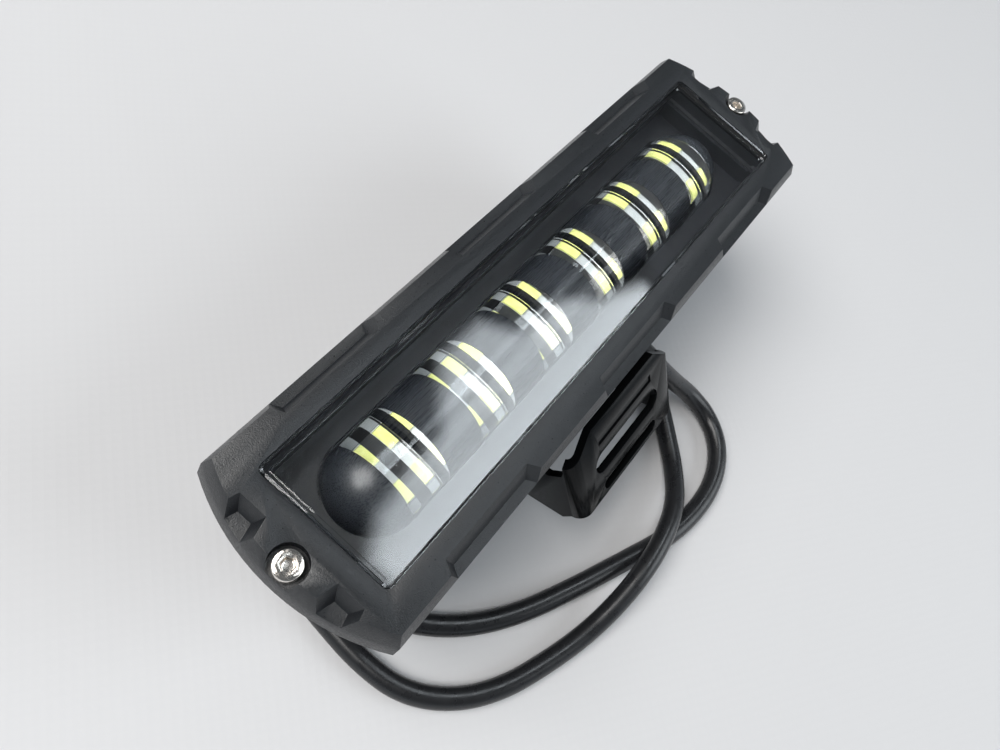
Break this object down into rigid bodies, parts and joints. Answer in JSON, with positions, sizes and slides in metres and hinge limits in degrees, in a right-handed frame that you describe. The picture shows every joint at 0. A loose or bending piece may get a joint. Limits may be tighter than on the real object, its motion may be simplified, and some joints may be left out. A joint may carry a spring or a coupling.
{
  "type": "led light bar",
  "caption": "Slim LED light bar with a clear front cover over half-round lenses in a black shroud, a finned housing, a tilting U bracket and a power cord with a plug-in connector.",
  "frame": {"origin": "under the middle of the lamp, on the flat end of its rear block, where the lamp stands lens side up", "axes": "+X along the bar, +Z the way the light goes, -Y the side that the bracket is folded out to"},
  "size_m": [0.2204, 0.1337, 0.0763],
  "materials": {
    "bezel_black": "black powder coat, fine texture, on die-cast aluminium",
    "stainless": "machined stainless steel",
    "clear_cover": "clear polycarbonate, gloss",
    "clear_lens": "clear polycarbonate, polished",
    "seal_rubber": "satin silicone",
    "housing_black": "black powder coat, satin, on die-cast aluminium",
    "vent_grey": "satin",
    "board_white": "white solder mask",
    "phosphor": "yellow phosphor",
    "pad_grey": "soft, matte",
    "steel_small": "zinc plated",
    "spreader_alu": "rolled",
    "shroud_black": "satin with fine lines along its length",
    "trim_black": "fine texture",
    "board_green": "green solder mask",
    "coil_copper": "enamelled copper",
    "can_alu": "sleeved can",
    "chip_black": "moulded",
    "core_red": "insulated core",
    "bracket_black": "gloss black powder coat on steel sheet",
    "black_steel": "black oxide",
    "gland_black": "moulded nylon",
    "cord_black": "smooth satin sheath",
    "boot_rubber": "moulded boot",
    "connector_black": "moulded nylon",
    "pin_brass": "tin-plated brass"
  },
  "bodies": {
    "lamp": {"front_bezel": "bezel_black", "bezel_screws": "stainless", "lens_cover": "clear_cover", "cover_seal": "seal_rubber", "housing_gasket": "seal_rubber", "housing": "housing_black", "breather_vent": "vent_grey", "led_board": "board_white", "led_chips": "phosphor", "thermal_pad": "pad_grey", "board_screws": "steel_small", "heat_spreader": "spreader_alu", "lens_shroud": "shroud_black", "inner_trim": "trim_black", "cover_retainer": "trim_black", "driver_board": "board_green", "driver_coil": "coil_copper", "driver_capacitors": "can_alu", "driver_chips": "chip_black", "driver_posts": "housing_black", "lead_cores": "core_red", "output_leads": "core_red", "pivot_bolts": "black_steel", "flat_washers": "black_steel", "spring_washers": "black_steel", "gland_body": "gland_black", "gland_nut": "gland_black", "power_cord": "cord_black", "connector_boot": "boot_rubber", "connector_body": "connector_black", "connector_pins": "pin_brass", "lens_1": "clear_lens", "lens_2": "clear_lens", "lens_3": "clear_lens", "lens_4": "clear_lens", "lens_5": "clear_lens", "lens_6": "clear_lens"},
    "bracket": {"bracket": "bracket_black"}
  },
  "joints": [
    {"name": "bracket_tilt", "type": "hinge", "parent": "lamp", "child": "bracket", "pos_m": [0, 0, 0.013], "axis": [1, 0, 0], "range_deg": [-8, 105]}
  ]
}
